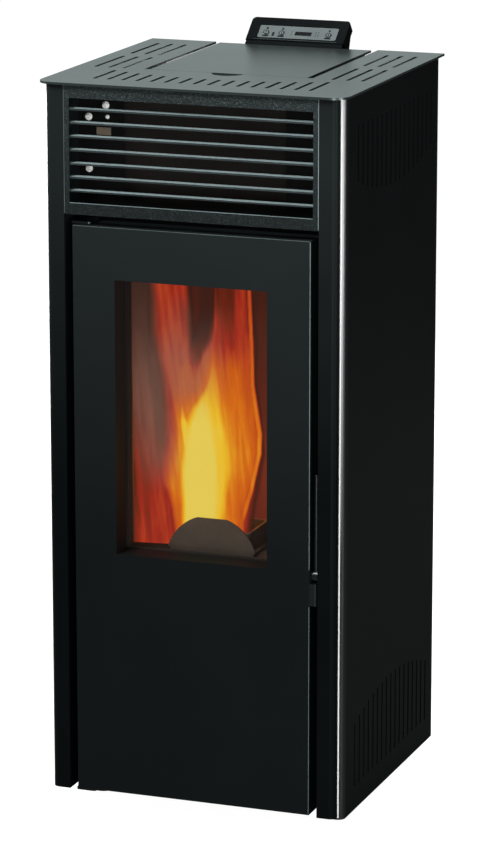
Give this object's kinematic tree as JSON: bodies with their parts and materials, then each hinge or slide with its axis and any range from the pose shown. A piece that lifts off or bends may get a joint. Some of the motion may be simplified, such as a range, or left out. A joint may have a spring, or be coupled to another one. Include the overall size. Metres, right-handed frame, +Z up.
{
  "type": "pellet stove",
  "caption": "Tall slim pellet stove: black sheet-metal casing, windowed door over a firebox, slatted grille above, hopper lid and control panel on top.",
  "frame": {"origin": "on the floor, at the middle of the footprint, which runs from the front edge of the top plate to the end of the flue spigot", "axes": "+Z up, the door faces -Y, +X to the right of someone who looks at the door"},
  "size_m": [0.422, 0.466, 1.0116],
  "materials": {
    "casing_black": "semi-gloss",
    "casing_rear": "matte",
    "polished_trim": "polished",
    "grille_charcoal": "fine texture",
    "door_charcoal": "satin",
    "handle_black": "semi-gloss",
    "inner_steel": "satin",
    "bush_brass": "satin",
    "ceramic_glass": "gloss",
    "rope_seal": "matte",
    "firebox_paint": "matte",
    "firebox_cast": "matte",
    "exchanger_steel": "satin",
    "ash_steel": "matte",
    "igniter_ceramic": "matte",
    "zinc_sheet": "satin",
    "auger_steel": "satin",
    "fan_steel": "satin",
    "motor_paint": "satin",
    "flue_black": "matte",
    "intake_steel": "satin",
    "socket_plastic": "matte",
    "circuit_green": "satin",
    "panel_black": "satin",
    "membrane_grey": "satin",
    "display_dark": "gloss",
    "led_white": "gloss",
    "button_grey": "satin",
    "seal_rubber": "matte",
    "foot_rubber": "matte"
  },
  "bodies": {
    "stove": {"air_intake_pipe": "intake_steel", "ash_box": "firebox_paint", "ash_drawer": "ash_steel", "auger_motor": "motor_paint", "auger_tube": "zinc_sheet", "back_panel": "casing_rear", "base_plate": "inner_steel", "blower_housing": "zinc_sheet", "blower_motor": "motor_paint", "control_board": "circuit_green", "control_housing": "panel_black", "corner_trims": "polished_trim", "display_window": "display_dark", "door_hinge_brackets": "door_charcoal", "exchanger_box": "firebox_paint", "exchanger_tubes": "exchanger_steel", "exhaust_housing": "zinc_sheet", "exhaust_motor": "motor_paint", "firebox_liner": "firebox_cast", "firebox_shell": "firebox_paint", "flue_box": "zinc_sheet", "flue_spigot": "flue_black", "front_bulkhead": "firebox_paint", "front_column_left": "casing_black", "front_column_right": "casing_black", "grille_frame": "grille_charcoal", "grille_slats": "grille_charcoal", "hopper": "zinc_sheet", "hopper_grid": "zinc_sheet", "hopper_rails": "zinc_sheet", "igniter": "igniter_ceramic", "keypad": "membrane_grey", "latch_keeper": "inner_steel", "levelling_feet": "foot_rubber", "lid_pivots": "inner_steel", "mains_socket": "socket_plastic", "rear_screws": "casing_rear", "side_panel_left": "casing_black", "side_panel_right": "casing_black", "smoke_duct": "firebox_paint", "status_leds": "led_white", "top_plate": "casing_black"},
    "door": {"door_panel": "door_charcoal", "door_inner_frame": "inner_steel", "door_glass": "ceramic_glass", "door_gasket": "rope_seal", "hinge_bushes": "bush_brass", "latch_bracket": "door_charcoal"},
    "lever": {"handle_lever": "handle_black"},
    "lid": {"hopper_lid": "casing_black", "lid_seal": "seal_rubber"},
    "pot": {"burn_pot": "firebox_cast", "pot_front_plate": "firebox_cast"},
    "button_left": {"button_left": "button_grey"},
    "button_middle": {"button_middle": "button_grey"},
    "button_right": {"button_right": "button_grey"},
    "rocker": {"rocker_switch": "socket_plastic"},
    "auger": {"auger_screw": "auger_steel"},
    "blower": {"blower_wheel": "fan_steel"},
    "exhaust_fan": {"exhaust_wheel": "fan_steel"}
  },
  "joints": [
    {"name": "door_hinge", "type": "hinge", "parent": "stove", "child": "door", "pos_m": [-0.154, -0.213, 0.411], "axis": [0, 0, -1], "range_deg": [0, 100]},
    {"name": "handle_lever", "type": "hinge", "parent": "door", "child": "lever", "pos_m": [0.169, -0.215, 0.352], "axis": [1, 0, 0], "range_deg": [0, 35]},
    {"name": "lid_hinge", "type": "hinge", "parent": "stove", "child": "lid", "pos_m": [0, 0.168, 0.9735], "axis": [-1, 0, 0], "range_deg": [0, 80]},
    {"name": "pot_lift", "type": "slide", "parent": "stove", "child": "pot", "axis": [0, 0, 1], "range_m": [0, 0.1]},
    {"name": "left_button_press", "type": "slide", "parent": "stove", "child": "button_left", "axis": [0, 0.6428, -0.766], "range_m": [0, 0.001], "stiffness_N_per_m": 400, "springref_m": -0.001},
    {"name": "middle_button_press", "type": "slide", "parent": "stove", "child": "button_middle", "axis": [0, 0.6428, -0.766], "range_m": [0, 0.001], "stiffness_N_per_m": 400, "springref_m": -0.001},
    {"name": "right_button_press", "type": "slide", "parent": "stove", "child": "button_right", "axis": [0, 0.6428, -0.766], "range_m": [0, 0.001], "stiffness_N_per_m": 400, "springref_m": -0.001},
    {"name": "switch_rock", "type": "hinge", "parent": "stove", "child": "rocker", "pos_m": [-0.15, 0.168, 0.2625], "axis": [1, 0, 0], "range_deg": [-6, 6]},
    {"name": "auger_turn", "type": "hinge", "parent": "stove", "child": "auger", "pos_m": [0, 0.05, 0.72], "axis": [0, 1, 0], "continuous": true},
    {"name": "blower_turn", "type": "hinge", "parent": "stove", "child": "blower", "pos_m": [-0.125, 0.073, 0.088], "axis": [1, 0, 0], "continuous": true},
    {"name": "exhaust_turn", "type": "hinge", "parent": "stove", "child": "exhaust_fan", "pos_m": [0.08, 0.073, 0.15], "axis": [0, 1, 0], "continuous": true}
  ]
}
